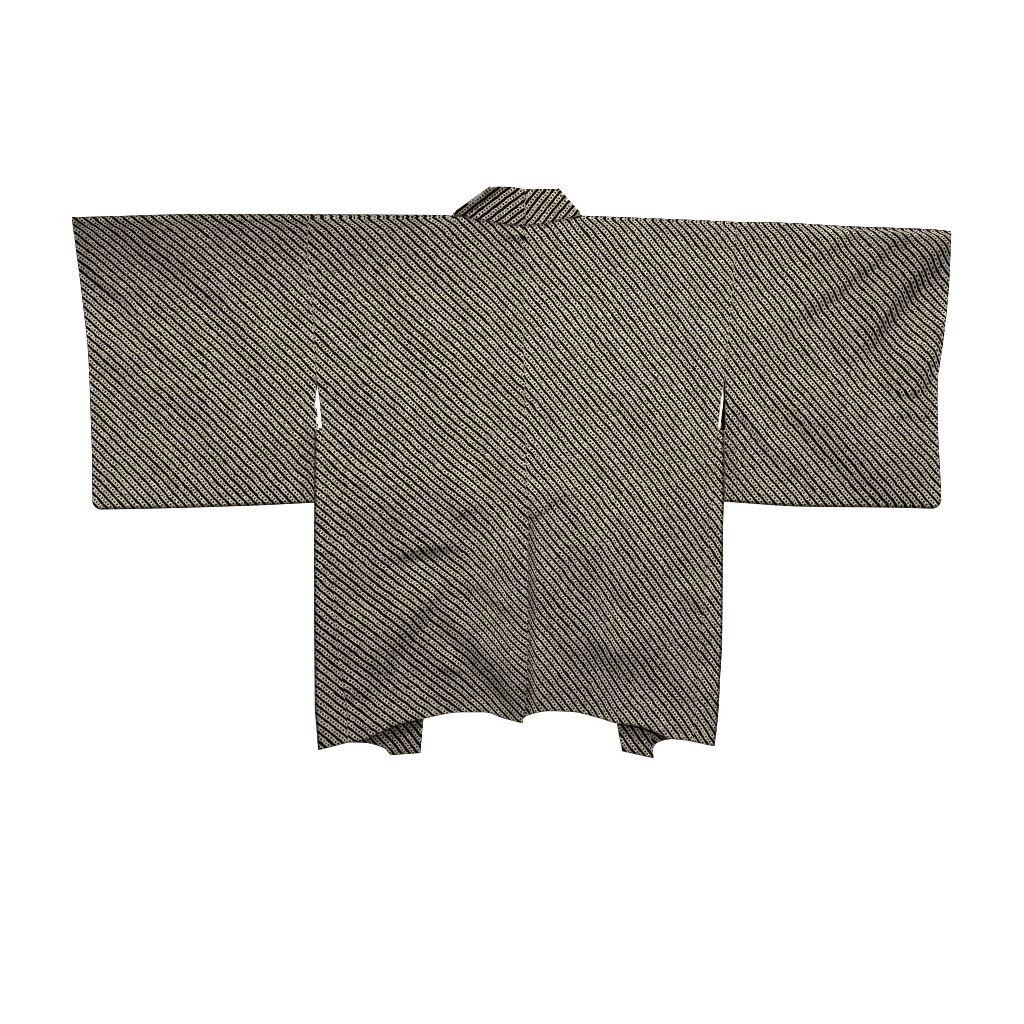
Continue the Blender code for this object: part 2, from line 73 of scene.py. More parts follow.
def eased(pairs):
    # an outline through its points: rounded like cloth, without overshooting any of them
    where, value = np.array(pairs, float).T
    run = np.diff(where)
    slope = np.diff(value) / run
    lean = np.append(slope, slope[-1])
    for k in range(1, len(run)):
        a, b = slope[k - 1], slope[k]
        lean[k] = 0 if a * b <= 0 else 2 * a * b / (a + b)
    t = np.linspace(0, 1, 9)[:-1]
    fineWhere, fineValue = [], []
    for k in range(len(run)):
        fineWhere.append(where[k] + t * run[k])
        fineValue.append(
            value[k] * (2 * t**3 - 3 * t**2 + 1)
            + value[k + 1] * (3 * t**2 - 2 * t**3)
            + run[k] * (lean[k] * (t**3 - 2 * t**2 + t) + lean[k + 1] * (t**3 - t**2))
        )
    return np.append(join(fineWhere), where[-1]), np.append(join(fineValue), value[-1])


def plain(pairs):
    return tuple(np.array(pairs, float).T)


def at(line, where):
    return np.interp(where, line[0], line[1])


def steps(count):
    return np.linspace(0, 1, count)[:, None]


def toward(start, end):
    return (end - start) / np.hypot(*(end - start))


def drift(x, y, cell, seed):
    # slow unevenness between -1 and 1, with lumps about one cell across, from a square of random heights
    u, v = np.asarray(x, float) / cell, np.asarray(y, float) / cell
    many = 64
    lattice = np.random.default_rng(seed).uniform(-1, 1, (many, many))
    i, j = np.floor(u).astype(int), np.floor(v).astype(int)
    fu, fv = smooth(0, 1, u - i), smooth(0, 1, v - j)
    i, j, nextI, nextJ = i % many, j % many, (i + 1) % many, (j + 1) % many
    low, high = mix(lattice[i, j], lattice[nextI, j], fu), mix(lattice[i, nextJ], lattice[nextI, nextJ], fu)
    return mix(low, high, fv)


def streaks(x, y, seed):
    # the same, drawn out along the bias as the tied rows draw the cloth
    return drift((x - y) / 1.41, 4.2 * (x + y) / 1.41, 105, seed)


# Body outlines: edges give x for y, hems and tops give y for x
leftBody = dict(
    out=-1,
    roll=7.5,  # how far the shoulder fold stands up
    topShade=0.14,  # painted shade by the shoulder, and beside the centre seam
    seamShade=0.0,
    panelStep=1.05,  # the left panel stands proud of the right one along the lower centre seam
    stepReach=16,
    tuck=0,
    turnFall=46,  # fall of the rows on the cloth turned up inside the hem
    slopeStrip=11.0,  # width of the under layer that shows at the slope of the collar
    centre=eased([(-366, 15.5), (-335, 20.5), (-240, 23.5), (-63, 24.5), (-24, 21.5), (60, 20), (160, 18),
        (260, 17), (366, 18)]),
    side=eased([(-404, -237.5), (-347, -240.7), (-252, -253.8), (-52, -266.9), (62, -275.8), (102, -279.2),
        (141, -284.2), (236, -290.2), (321, -297.4), (376, -296)]),
    hem=eased([(-240.7, -392.7), (-221.8, -390), (-194.8, -379.2), (-168, -367.3), (-127.3, -357.7),
        (-76.4, -349.1), (-42.9, -349.1), (-14.5, -357.8), (15, -365.2)]),
    shoulder=plain([(-296, 376), (-86, 375)]),
    neck=eased([(-86, 372.6), (-60, 371.5), (-25, 367.5), (18, 365.5)]),
    outline=eased([(-404, -281.6), (-372, -284), (-340, -286.4), (-124, -287.6), (-54, -287.2),
        (62, -286.6)]),
    gussetHem=plain([(-281, -403.6), (-240.7, -392.7)]),
    frontSide=plain([(-404, -256), (62, -279), (67, -284), (141, -284.4), (236, -290.2), (321, -297.4),
                     (376, -296)]),
    frontHem=eased([(-281, -403.6), (-256, -397), (-235, -393), (-215, -393.5), (-184, -402), (-179, -407.5),
        (-175, -411)]),
    frontEdge=eased([(-416, -176), (-200, -154), (0, -133), (200, -110), (300, -98), (376, -86)]),
    fold=eased([(-408, -132), (-357, -127.5), (-200, -109), (0, -87), (200, -64), (300, -52), (410, -36)]),
    bandHem=(-411.6, -408.2),
    neckFree=eased([(-85, 374.5), (-37, 365.8), (-0.7, 360), (18, 359.3)]),
    bandTop=((20.4, 411.7), (8, 414.5), (-9, 416), (-18, 416), (-24, 415.8), (-28.4, 413.8)),
    neckPoint=(-84, 374),
    silk="shiboriSilk",
)
rightBody = dict(
    out=1,
    roll=1.5,
    topShade=0.0,
    seamShade=0.6,
    panelStep=-0.3675,
    stepReach=7,
    tuck=2.2,  # and the right one reaches this far under it
    turnFall=40,
    slopeStrip=0,
    centre=leftBody["centre"],
    side=eased([(-398, 265), (-334, 268.4), (-244, 275.6), (-127, 285.8), (62, 300.2), (105, 304.9),
        (123, 307.3), (141, 310), (236, 319), (321, 324.8), (364, 328)]),
    hem=eased([(15, -361), (23.6, -353.7), (53.1, -347.5), (85.1, -348.4), (122.9, -356.4), (154, -365.2),
        (179.6, -368.4), (206.4, -376.6), (230.5, -387.3), (252.1, -389.5), (265.4, -392)]),
    shoulder=eased([(103, 374), (262, 368), (328, 365)]),
    neck=eased([(18, 365.5), (60, 368), (103, 371.4)]),
    outline=eased([(-398, 295.6), (-369, 299.4), (-334, 302.2), (-300, 303.8), (-246, 306.8), (-80, 308.2),
        (-40, 309.2), (62, 309.2)]),
    gussetHem=plain([(265.4, -392), (295.4, -398.1)]),
    frontSide=plain([(-398, 275), (60, 300.2), (62, 310.8), (141, 311), (236, 319), (321, 324.8),
        (364, 328)]),
    frontHem=eased([(205, -403), (212, -394), (229, -388.5), (250, -386), (275, -388), (296, -396)]),
    frontEdge=eased([(-416, 206), (-200, 182), (0, 160), (200, 136), (300, 123), (374, 103)]),
    fold=eased([(-406, 161), (-364, 153), (-200, 135), (0, 113), (200, 90), (300, 78), (412, 66)]),
    bandHem=(-416, -405.7),
    neckFree=eased([(18, 359.3), (48.7, 361.4), (70.5, 367.3), (102.5, 373.1)]),
    bandTop=((19.6, 412.4), (28, 412.6), (38, 412.8), (48, 412.8), (58, 412.6), (65.5, 411.5)),
    neckPoint=(100.6, 372.3),
    silk="shiboriPaintedLight",
)
leftSleeve = dict(
    out=-1,
    roll=(8.0, 10.0),
    topShade=0.27,
    cornerShade=0.12,
    half=leftBody,
    cuff=eased([(-37, -610.2), (-2, -610.2), (102, -613.1), (172, -616), (242, -623.3), (312, -632),
        (372, -640)]),
    openEdge=eased([(-45, -286.8), (57, -286.2), (64, -281.4), (70, -280.6), (103, -283.2), (141, -284.9)]),
    top=eased([(-640, 371.6), (-583, 373.1), (-465, 376), (-296, 376)]),
    bottom=eased([(-600, -54.5), (-523, -53.1), (-377, -48.7), (-287, -44.4)]),
)
rightSleeve = dict(
    out=1,
    roll=(2.0, 6.0),  # beside the body and towards the cuff
    topShade=0.0,
    cornerShade=0.36,
    half=rightBody,
    cuff=eased([(-37, 625.5), (-2, 624), (57, 621), (103, 620), (137, 620.4), (156, 623.2), (207, 630),
        (277, 637), (351, 640)]),
    openEdge=eased([(-43, 309.2), (60, 309.4), (64, 310.4), (141, 310.6)]),
    top=eased([(328, 365), (379, 364.4), (495, 358.5), (612, 354.2), (640, 351.3)]),
    bottom=eased([(309, -42.9), (427, -50.2), (554, -51.6), (614, -53.1)]),
)

# Folds that stand up from the laid cloth. Each has the two ends of its steep side, how far that bows to the
# left of the walk, the height of its crest, to the left of the walk or, where negative, to its right, and the
# widths of the steep side and of the gentle one behind the crest
folds = dict(body=[
    (-174, -130, -66, -109, 5, 9.4, 13, 76),
    (-268, -127, -170, -127, 0, 1.0, 5, 24),
    (-80, -154, -210, -326, -6, -10.8, 28, 78),
    (-112, -208, 12, -366, 9, 11.4, 34, 96),
    (-70, -142, 12, -222, -4, 5.4, 24, 90),
    (-90, -124, 4, -156, 0, 5.2, 50, 90),
    (-40, -142, -92, -238, 0, -4.4, 20, 50),
    (-88, -74, -34, -48, 2, 4.0, 18, 40),
    (-248, -244, -216, -223, 0, 2.0, 10, 36),
    (-250, -320, -198, -332, 0, 2.6, 12, 36),
    (-114, -286, -62, -292, 0, 3.2, 11, 40),
    (-250, -74, 30, -70, 0, 6.0, 74, 90),
    (-14, 341, 36, 337, 2, 4.6, 8, 22),
    (26, -76, 88, -30, 3, 4.4, 11, 40),
    (16, -40, 104, -30, 3, 2.2, 14, 50),
    (66, -100, 186, -220, 0, 7.0, 76, 124),
    (72, -250, 222, -294, 0, 9.0, 62, 112),
    (74, -282, 50, -344, 0, -2.0, 7, 20),
    (238, -168, 286, -214, 0, 3.4, 15, 50),
], sleeve=[
    (666, 356, 500, 150, -9, -14.2, 26, 84),
    (622, 384, 376, 190, 6, -8.0, 27, 84),
    (536, 376, 418, 290, 2, -6.0, 20, 60),
    (644, 246, 586, 102, 5, -11.5, 17, 60),
    (552, 110, 612, 119, 0, 2.4, 9, 30),
    (366, 114, 584, -88, 7, 9.6, 48, 100),
    (-548, 336, -392, 206, 5, 4.0, 24, 70),
    (-644, 322, -530, 220, -5, 3.8, 22, 60),
    (-618, 180, -544, 126, 3, 2.8, 20, 50),
    (-296, 58, -310, -44, 0, 3.0, 14, 16),
    (304, 116, 410, -24, 3, 3.8, 11, 40),
    (528, 79, 626, 81, 0, 2.4, 8, 30),
])
# How the cloth gives: crowns in the middle of the panels, waves, ripples along the seams and the lifted hem
slack = dict(
    bodyCrown=1.8,
    sleeveCrown=2.0,
    crownEdge=95,  # distance in which a crown dies away towards an edge
    foldEdge=14,  # and a fold or wave
    ramp=60,  # distance in which the back comes down beside a band
    wave=0.6,
    waveCell=70,
    streaks=0.4,  # share of the waves that run along the bias
    pucker=0.22,
    puckerPitch=11,
    puckerReach=9,
    hemLift=5.0,
    hemReach=60,
    rounding=4.0,  # cloth taken up where a panel rolls towards its fold
    bodyPull=0.3,  # share of a fold's height by which it draws the rows along
    sleevePull=0.75,
    rollReach=95,
)


def foldLift(kind, x, y):
    total = np.zeros(np.broadcast(x, y).shape)
    for number, (x0, y0, x1, y1, bow, height, steep, gentle) in enumerate(folds[kind]):
        runX, runY = x1 - x0, y1 - y0
        length = np.hypot(runX, runY)
        share = (runX * (x - x0) + runY * (y - y0)) / length**2
        within = np.clip(share, 0, 1)
        aside = (runX * (y - y0) - runY * (x - x0)) / length - bow * 4 * within * (1 - within)
        aside = aside * np.sign(height) + 1.5 * drift(share * length, 0 * share, 26, 50 + number)
        wide = steep * (1 + 0.25 * np.sin(5.3 * share + 2.1 * number))
        fade = smooth(-0.05, 0.3, share) * smooth(-0.05, 0.4, 1 - share)
        crest = smooth(-wide / 2, wide / 2, aside) * (1 - smooth(wide * 0.4, wide / 2 + gentle, aside))
        total += fade * abs(height) * crest
    return total


def softly(lift):
    # keeps a layer off the one beneath, without a hard edge where it comes down
    return (lift + np.sqrt(lift * lift + 0.3)) / 2 - 0.27


def pucker(away, along, seed):
    # short ripples that sewing leaves across a seam
    drawn = slack["pucker"] * np.exp(-((away / slack["puckerReach"]) ** 2))
    phase = along / slack["puckerPitch"] + 0.6 * drift(along, away * 0, 23, seed)
    return drawn * (np.sin(2 * pi * phase) - 0.4) * (0.7 + 0.5 * drift(along, away * 0, 60, seed + 1))


def alongStep(y):
    # from 0 above to 1 where the left panel stands proud
    return smooth(-30, -80, y)


def bodyLevel(half, x, y):
    out = half["out"]
    pastFold = (x - at(half["fold"], y)) * out
    bandWide = (at(half["frontEdge"], y) - at(half["fold"], y)) * out
    base = mix(layers["onFloor"], layers["overBand"], smooth(-slack["ramp"], 0, pastFold))
    base = mix(base, layers["upper"], smooth(bandWide, bandWide + slack["ramp"], pastFold))
    edge = np.where(y < places["slitFoot"], at(half["outline"], y), at(half["side"], y))
    fromSide = (edge - x) * out
    fromHem, fromTop = y - at(half["hem"], x), places["shoulder"] - y
    ends = smooth(0, slack["crownEdge"], fromHem) * smooth(0, slack["crownEdge"], fromTop)
    crown = slack["bodyCrown"] * smooth(0, slack["crownEdge"], fromSide) * ends
    nearEnds = smooth(0, slack["foldEdge"], fromSide) * smooth(0, 14, fromHem + 4)
    wave = slack["wave"] * (drift(x, y, slack["waveCell"], 3) + slack["streaks"] * streaks(x, y, 4))
    wave = wave * nearEnds * smooth(0, 40, fromTop)
    lift = softly(crown + foldLift("body", x, y) * smooth(0, slack["foldEdge"], fromSide))
    overFront = smooth(-bandWide * 0.2, bandWide * 0.4, pastFold)
    raised = slack["hemLift"] * smooth(slack["hemReach"], 0, fromHem) * overFront
    lift = lift + raised * smooth(0, 40, fromSide)
    fromCentre = (x - at(half["centre"], y)) * out
    proud = alongStep(y) * (1 - smooth(0, half["stepReach"], fromCentre)) * smooth(-6, 20, fromHem)
    lift = lift + half["panelStep"] * proud
    sewn = pucker(fromCentre, y, 11) + pucker((at(half["side"], y) - x) * out, y, 17) * smooth(0, 30, fromTop)
    roll = half["roll"] * np.clip(1 - fromTop / slack["rollReach"], 0, 1) ** 2 * smooth(88, 150, abs(x))
    return base + lift + wave + sewn + roll


# Painted shade: where, and by how much, the silk is painted darker to stand for shade
paintedShading = dict(
    shoulder=170,  # reaches of the painted shade from the shoulder, from the upper cuff corner and from the sleeve opening
    corner=190,
    opening=34,
    openingShade=0.28,
    foldShade=(0.1, 0.95),  # angles round the shoulder fold over which it is painted dark
    turnedEdge=2.2,  # width of the painted dark line beside a turned edge
    underHem=0.7,
)


def paintedShadeAt(place, x, y, fromTop):
    # painted shade by the shoulders, beside the lower centre seam, by the upper cuff corner and beside the
    # sleeve opening
    shade = place["topShade"] * smooth(paintedShading["shoulder"], 0, fromTop)
    if "centre" in place:
        beside = (x - at(place["centre"], y)) * place["out"]
        shadow = smooth(-1, 2, beside) * smooth(14, 3, beside) * smooth(-34, -58, y)
        return shade + place["seamShade"] * shadow
    fromCuff = (at(place["cuff"], y) - x) * place["out"]
    shade = shade + place["cornerShade"] * smooth(240, 60, fromCuff) * smooth(paintedShading["corner"], 0, fromTop)
    fromOpening = (x - at(place["openEdge"], y)) * place["out"]
    return shade + paintedShading["openingShade"] * smooth(paintedShading["opening"], 0, fromOpening) * smooth(125, 50, y)


def aroundFold(angle, start):
    # painted shade along the outer half of the shoulder fold
    return mix(start, 1, smooth(*paintedShading["foldShade"], angle))


def underHem(half, x, y):
    # painted shade on the front, deepest where it lies in the gap behind the back hem
    return paintedShading["underHem"] * smooth(-26, 2, y - at(half["hem"], x)) * smooth(-200, -320, y)


def sleeveInner(sleeve, y):
    seam = at(sleeve["half"]["side"], y) + sleeve["out"] * layers["seam"]
    return np.where(y >= places["slitTop"], seam, at(sleeve["openEdge"], y))


def sleeveLevel(sleeve, x, y):
    out = sleeve["out"]
    fromCuff = (at(sleeve["cuff"], y) - x) * out
    fromSeam = (x - sleeveInner(sleeve, y)) * out
    fromTop = at(sleeve["top"], x) - y
    fromBottom = y - at(sleeve["bottom"], x)
    opened = np.maximum(smooth(0, slack["foldEdge"], fromCuff), smooth(118, 146, y))
    base = mix(layers["sewn"], layers["upper"], opened)
    crown = slack["sleeveCrown"] * smooth(0, slack["crownEdge"], fromCuff)
    creases = foldLift("sleeve", x, y) * opened
    wave = slack["wave"] * (drift(x, y, slack["waveCell"], 5) + slack["streaks"] * streaks(x, y, 6)) * opened
    for distance in (fromSeam, fromTop, fromBottom):
        crown = crown * smooth(0, slack["crownEdge"], distance)
        creases = creases * smooth(0, slack["foldEdge"], distance)
        wave = wave * smooth(0, slack["foldEdge"], distance)
    sewn = pucker(fromSeam, y, 17) * smooth(120, 160, y) * smooth(0, 30, fromTop)
    roll = mix(*sleeve["roll"], smooth(190, 70, fromCuff))
    roll = roll * np.clip(1 - fromTop / slack["rollReach"], 0, 1) ** 2 * smooth(-10, 20, fromCuff)
    return base + softly(crown + creases) + wave + sewn + roll


# How the rows of tied rings run over each piece: their fall to the right for y, in degrees, their pitches,
# and where the cloth is drawn together: between two x, from one y down to another, and by how much
grains = dict(
    leftBody=dict(falls=[(-420, 35), (-392, 36), (-310, 37.5), (-200, 39.5), (-113, 40.5), (33, 42.5),
                         (150, 44), (376, 45)], rowPitch=9.75, ringPitch=4.62,
                  draws=[(-76, 22, -24, -180, 0.19), (-40, 20, 376, 250, 0.06)], seed=21),
    rightBody=dict(falls=[(-420, 53), (-392, 52.5), (-200, 51.5), (200, 51), (376, 51.5)],
                   fan=0.0003, rowPitch=9.0, ringPitch=4.6,
                   draws=[(108, 164, -20, -260, 0.12), (37, 24, -40, -90, 0.45)], seed=22),
    leftSleeve=dict(falls=[(-60, 46.5), (60, 45.5), (150, 44), (240, 43), (340, 41.2), (376, 41)],
                    rowPitch=9.5, ringPitch=4.62, seed=23),
    rightSleeve=dict(falls=[(-60, 48.5), (60, 49.5), (150, 51), (250, 52.5), (376, 53)], fan=-0.0003,
                     rowPitch=9.2, ringPitch=4.6, seed=24),
    leftCollar=dict(falls=[(-420, 52), (340, 52), (352, -37), (420, -37)],
                    rowPitch=9.5, ringPitch=4.6, seed=25),
    rightCollar=dict(falls=[(-420, 54), (340, 54), (352, -50), (420, -50)],
                     rowPitch=9.3, ringPitch=4.6, seed=26),
)


def ringCounts(x, y, grain, middle):
    # counts rings along a row and rows across, at a point of the cloth
    step = 2.0
    fineY = np.arange(-460, 1320, step)
    fall = np.radians(at(plain(grain["falls"]), fineY))
    across = join([[0], np.cumsum(np.cos(fall[1:]) * step)])
    along = join([[0], np.cumsum(np.sin(fall[1:]) * step)])
    here = np.interp(y, fineY, fall)
    dx = x - middle
    rows = dx * np.sin(here) + np.interp(y, fineY, across) + grain.get("fan", 0) * dx * dx / 2
    for left, right, above, beneath, amount in grain.get("draws", []):
        rows = rows + amount * (right - left) * smooth(left, right, x) * smooth(above, beneath, y)
    rings = dx * np.cos(here) - np.interp(y, fineY, along)
    rows = rows + 1.3 * drift(x, y, 85, grain["seed"]) + 0.35 * drift(x, y, 30, grain["seed"] + 40)
    return np.stack([rings / grain["ringPitch"], rows / grain["rowPitch"]], -1)


def foldOver(axisX, axisY, wayX, wayY, turn, angle):
    # round a fold, from the layer above to the one on the floor
    x, y = axisX + wayX * turn * np.sin(angle), axisY + wayY * turn * np.sin(angle)
    return np.stack([x, y, layers["lower"] + turn + turn * np.cos(angle)], -1)


def onFloor(x, y):
    return np.stack([x, y, np.full_like(x, layers["lower"])], -1)


def unit(ways):
    return ways / np.maximum(np.linalg.norm(ways, axis=1, keepdims=True), 1e-9)


def addObject(name, data):
    made = bpy.data.objects.new(name, data)
    bpy.context.scene.collection.objects.link(made)
    return made


def makeShell(name, points, counts, thickness, look, innerLook=None, there=None, shade=None, inside=None):
    # a closed shell of even thickness about a grid of points, with its edges drawn in to a fold
    rows, columns = points.shape[:2]
    there = np.ones((rows, columns), bool) if there is None else there
    ids = np.full((rows, columns), -1)
    ids[there] = np.arange(there.sum())
    middle, uv = points[there], counts[there]
    quads = np.stack([ids[:-1, :-1], ids[:-1, 1:], ids[1:, 1:], ids[1:, :-1]], -1).reshape(-1, 4)
    innerOf = np.zeros(len(quads), int) if innerLook is None else innerLook[:-1, :-1].reshape(-1)
    keep = quads.min(1) >= 0
    quads, innerOf = quads[keep], innerOf[keep]
    p = middle[quads]
    faceOut = np.cross(p[:, 2] - p[:, 0], p[:, 3] - p[:, 1])
    if faceOut[np.argmax(middle[quads[:, 0], 2]), 2] <= 0:  # the back faces up
        quads, faceOut = quads[:, ::-1], -faceOut
    outs = np.zeros_like(middle)
    for k in range(4):
        np.add.at(outs, quads[:, k], faceOut)
    outs = unit(outs)
    edges = join([quads[:, [k, (k + 1) % 4]] for k in range(4)])
    count = len(middle)
    key, back = edges[:, 0] * count + edges[:, 1], edges[:, 1] * count + edges[:, 0]
    rim = edges[~np.isin(key, back)]
    a, b = rim.T
    aside = unit(np.cross(middle[b] - middle[a], outs[a]))
    draw = np.zeros_like(middle)
    np.add.at(draw, a, aside)
    np.add.at(draw, b, aside)
    half = thickness / 2
    body = middle - unit(draw) * half * 0.9
    rimIds = np.unique(rim)
    midOf = np.full(count, -1)
    midOf[rimIds] = np.arange(len(rimIds)) + 2 * count
    verts = join([body + outs * half, body - outs * half, middle[rimIds]]) * mm
    verts[:, 2] = np.maximum(verts[:, 2], 0.02 * mm)  # nothing sinks into the floor
    uvs = join([uv, uv if inside is None else inside[there], uv[rimIds]])
    faces = join([
        quads,
        quads[:, ::-1] + count,
        np.stack([b, a, midOf[a], midOf[b]], -1),
        np.stack([midOf[b], midOf[a], a + count, b + count], -1),
    ])
    looks = join([np.zeros(len(quads), int), innerOf, np.full(2 * len(rim), len(look) - 1)])
    mesh = bpy.data.meshes.new(name)
    mesh.from_pydata(verts, [], faces)
    mesh.polygons.foreach_set("material_index", looks.astype(np.int32))
    # painted shade for each point, carried to the material in the foldShade attribute
    folded = np.zeros(count) if shade is None else shade[there]
    folded = join([folded, folded, folded[rimIds]])
    mesh.attributes.new("foldShade", "FLOAT", "POINT").data.foreach_set("value", folded.astype(np.float32))
    layer = mesh.uv_layers.new(name="cloth")
    layer.uv.foreach_set("vector", uvs[faces.ravel()].astype(np.float32).ravel())
    for material in look:
        mesh.materials.append(material)
    mesh.shade_smooth()
    mesh.validate()
    print("stage:", name, len(mesh.polygons) * 2, "triangles")
    return addObject(name, mesh)


# Tied and dyed silk: rows of small cream rings, each round a dark point, on a near-black ground
shiboriSilk = dict(
    ground=(0.0009, 0.0004, 0.0002),
    groundWorn=(0.007, 0.0036, 0.0016),
    cream=(0.42, 0.39, 0.31),
    stain=(0.50, 0.42, 0.28),  # where the dye has bled into the rim of a ring
    creamBright=(1.0, 0.955, 0.83),
    bolts=dict(  # width of a chain of rings, of the pitch of the rows, and brightness, which paints light and shade as lit and shaded copies of one silk
        shiboriSilk=(0.575, 0.94),
        shiboriPaintedLight=(0.575, 1.0),  # a brighter copy for the right half: painted light
        # a darker copy for the left collar: painted shade
        shiboriCollarLeft=(0.52, 0.86),
        shiboriCollarRight=(0.55, 0.97),
    ),
    pointAlong=0.30,  # radius of the dark point, of the pitch of the rings
    pointAcross=0.185,  # and of the pitch of the rows
    waver=0.12,
    streak=(0.028, 0.42),  # the runs of paler and darker rings, for each ring along and each row across
    streakDepth=0.05,
    reliefMm=0.5,
    roughness=0.8,
)


class Calc:
    # a new material's shader, and short names for its chains of nodes
    def __init__(self, name):
        self.material = bpy.data.materials.new(name)
        self.material.use_nodes = True
        self.tree = self.material.node_tree

    def put(self, node, given):
        for socket, value in dict(given).items():
            if hasattr(value, "links"):
                self.tree.links.new(value, node.inputs[socket])
            else:
                node.inputs[socket].default_value = value

    def finish(self, given):
        self.put(self.tree.nodes["Principled BSDF"], given)
        return self.material

    def node(self, kind, given=(), **settings):
        made = self.tree.nodes.new(kind)
        for name, value in settings.items():
            setattr(made, name, value)
        self.put(made, given)
        return made

    def math(self, operation, *values):
        return self.node("ShaderNodeMath", enumerate(values), operation=operation).outputs[0]

    def times(self, *values):
        return self.math("MULTIPLY", *values)

    def scaled(self, value, by, add):
        return self.math("MULTIPLY_ADD", value, by, add)

    def plus(self, *values):
        return self.math("ADD", *values)

    def minus(self, *values):
        return self.math("SUBTRACT", *values)

    def size(self, value):
        return self.math("ABSOLUTE", value)

    def ramp(self, *values):
        # from a low and a high value to a bottom and a top one
        made = self.node("ShaderNodeMapRange", enumerate(values), interpolation_type="SMOOTHSTEP")
        return made.outputs["Result"]

    def noise(self, vector, scale, detail=1):
        given = dict(Vector=vector, Scale=scale, Detail=detail)
        return self.node("ShaderNodeTexNoise", given, noise_dimensions="2D").outputs["Fac"]

    def blend(self, share, *colours):
        one, two = ((*colour, 1) if isinstance(colour, tuple) else colour for colour in colours)
        return self.node("ShaderNodeMix", {0: share, 6: one, 7: two}, data_type="RGBA").outputs[2]

    def relief(self, height, strength, deepMm):
        given = dict(Height=height, Strength=strength, Distance=deepMm * mm)
        return self.node("ShaderNodeBump", given).outputs[0]


def makeShibori(name, chainWidth, brightness):
    s, c = shiboriSilk, Calc(name)
    cloth = c.node("ShaderNodeUVMap", uv_map="cloth").outputs[0]
    # painted shade, read from the mesh
    folded = c.node("ShaderNodeAttribute", attribute_name="foldShade").outputs["Fac"]
    along, across = c.node("ShaderNodeSeparateXYZ", {0: cloth}).outputs[:2]
    slow = c.minus(c.noise(cloth, 0.16), 0.5)
    quick = c.minus(c.noise(cloth, 0.55), 0.5)
    across = c.scaled(slow, s["waver"] * 1.6, across)
    across = c.scaled(quick, s["waver"] * 0.8, across)
    row = c.math("FLOOR", across)
    inRow = c.minus(c.minus(across, row), 0.5)
    rowRandom = c.node("ShaderNodeTexWhiteNoise", dict(W=row), noise_dimensions="1D")
    along = c.plus(c.scaled(slow, 1.2, along), rowRandom.outputs["Value"])
    ringNumber = c.math("FLOOR", along)
    inRing = c.minus(c.minus(along, ringNumber), 0.5)
    which = c.node("ShaderNodeCombineXYZ", {0: c.plus(ringNumber, 0.5), 1: c.plus(row, 0.5)}).outputs[0]
    chance = c.node("ShaderNodeTexWhiteNoise", dict(Vector=which), noise_dimensions="2D").outputs
    first, second, third = c.node("ShaderNodeSeparateColor", {0: chance["Color"]}).outputs[:3]
    fourth = chance["Value"]
    # edge of the chain: scalloped by each ring, wider here and narrower there, mostly in runs along a row
    drawn = c.node("ShaderNodeVectorMath", {0: cloth, 1: (*s["streak"], 0)}, operation="MULTIPLY").outputs[0]
    streak = c.noise(drawn, 1, 2)
    reach = c.times(c.ramp(streak, 0.3, 0.7, 0.965, 1.03), chainWidth / 2)
    nip = c.math("POWER", c.times(c.size(inRing), 2), 3)
    reach = c.times(reach, c.scaled(nip, -0.24, 1.04))
    reach = c.times(reach, c.scaled(third, 0.18, 0.93))
    offset = c.scaled(second, 0.07, -0.035)
    away = c.size(c.plus(inRow, offset))
    edge = c.math("DIVIDE", away, reach)
    chain = c.ramp(edge, 1.10, 0.90)
    # dark point in the middle of each ring
    pointX = c.math("DIVIDE", c.scaled(first, 0.12, c.minus(inRing, 0.06)), s["pointAlong"])
    pointY = c.math("DIVIDE", c.plus(inRow, offset), s["pointAcross"])
    far = c.math("SQRT", c.plus(c.times(pointX, pointX), c.times(pointY, pointY)))
    point = c.ramp(far, 1.18, 0.82)
    point = c.times(point, c.ramp(fourth, 0, 0.2, 0.65, 1))
    dyed = c.times(chain, c.minus(1, point))
    missed = c.ramp(third, 0.86, 1, 1, 0.72)  # some rings took more dye
    patch = c.ramp(streak, 0.3, 0.7, 1 - s["streakDepth"], 1 + s["streakDepth"] / 3)
    # brightness is painted light and shade for this copy of the silk
    dyed = c.times(dyed, c.times(c.times(missed, patch), brightness))
    dyed = c.times(dyed, c.ramp(c.noise(cloth, 4.2, 1), 0.3, 0.7, 0.52, 1.15))  # flecks of the crepe
    dyed = c.times(dyed, c.scaled(folded, -0.8, 1))  # painted shade from the foldShade attribute
    grain = c.noise(cloth, 5, 2)
    mottle = c.ramp(c.noise(cloth, 2.3, 2), 0.32, 0.68, 0, 1)
    corner = c.times(c.ramp(edge, 0.3, 0.8), c.ramp(c.size(inRing), 0.1, 0.45, 0.4, 1))
    creamShare = c.times(c.plus(corner, 0.45), mottle)
    cream = c.blend(creamShare, s["cream"], s["creamBright"])
    rim = c.math("MAXIMUM", c.ramp(edge, 0.72, 1), c.ramp(far, 1.5, 1))
    cream = c.blend(c.times(rim, 0.5), cream, s["stain"])
    ground = c.blend(c.ramp(grain, 0.35, 0.7), s["ground"], s["groundWorn"])
    # each ring stands up in a soft pucker with a nipped point, over the fine crepe of the silk
    dome = c.times(chain, c.ramp(c.size(inRing), 0.5, 0.1, 0.45, 1))
    height = c.scaled(point, 0.25, dome)
    height = c.scaled(c.noise(cloth, 9, 2), 0.10, height)
    return c.finish({
        "Base Color": c.blend(dyed, ground, cream),
        "Normal": c.relief(height, 0.55, s["reliefMm"]),
        "Roughness": c.ramp(dyed, 0, 1, s["roughness"], s["roughness"] - 0.18),
        "Specular IOR Level": 0.012,
        "Sheen Weight": 0.004,
        "Sheen Roughness": 0.4,
    })


liningSilk = dict(colour=(0.96, 0.94, 0.79), shade=(0.93, 0.90, 0.74), threadMm=0.45, roughness=0.5)


